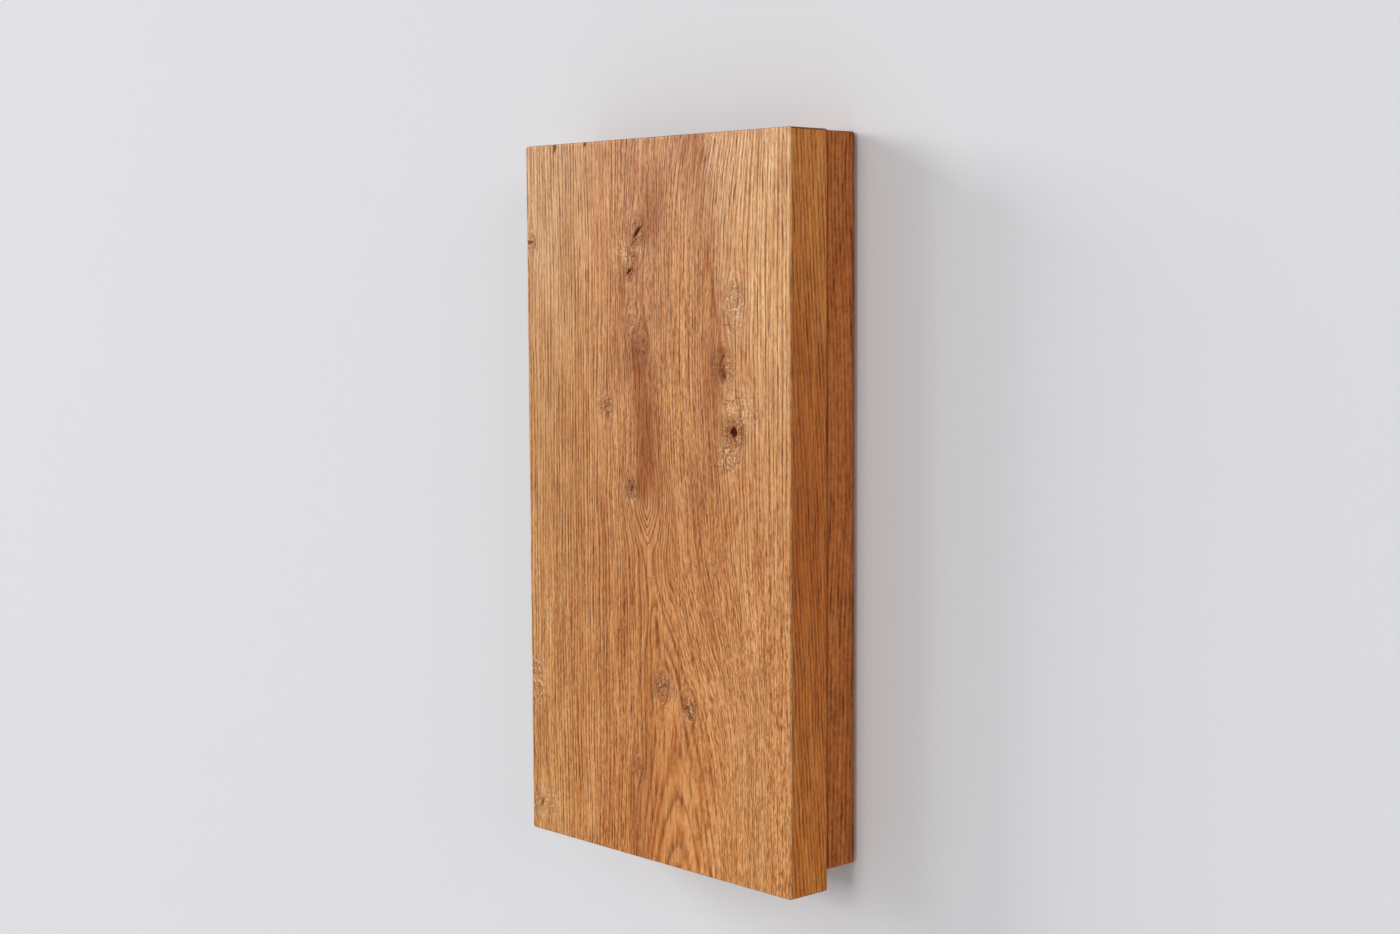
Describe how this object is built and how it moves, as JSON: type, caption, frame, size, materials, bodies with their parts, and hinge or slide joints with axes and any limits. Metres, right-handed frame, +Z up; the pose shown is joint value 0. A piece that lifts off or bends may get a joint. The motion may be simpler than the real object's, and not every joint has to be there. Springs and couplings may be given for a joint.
{
  "type": "hanging wall vase",
  "caption": "Flat oak wall vase: a thick front board on a shorter back board, a flower pocket open at the top, a lift-out clear water liner and keyhole plates for hanging.",
  "frame": {"origin": "midway between the entry holes of the keyhole plates, on the back face of the back board", "axes": "+Z up, +Y into the wall, +X to the right as seen from the room"},
  "size_m": [0.162, 0.0375, 0.3],
  "materials": {
    "front_oak": "oiled, lightly brushed oak with knots",
    "back_oak": "oiled oak, redder than the front board",
    "beech": "bare turned beech",
    "clear_acrylic": "clear polished acrylic",
    "zinc_plated_steel": "zinc plated sheet steel",
    "screw_steel": "yellow zinc plated steel",
    "felt": "pressed wool felt"
  },
  "bodies": {
    "vase": {"front_board": "front_oak", "back_board": "back_oak", "dowels": "beech", "hanger_plate_left": "zinc_plated_steel", "hanger_plate_right": "zinc_plated_steel", "hanger_screws": "screw_steel", "wall_pads": "felt"},
    "liner": {"water_liner": "clear_acrylic"}
  },
  "joints": [
    {"name": "liner_lift", "type": "slide", "parent": "vase", "child": "liner", "axis": [0, 0, 1], "range_m": [0, 0.27]}
  ]
}
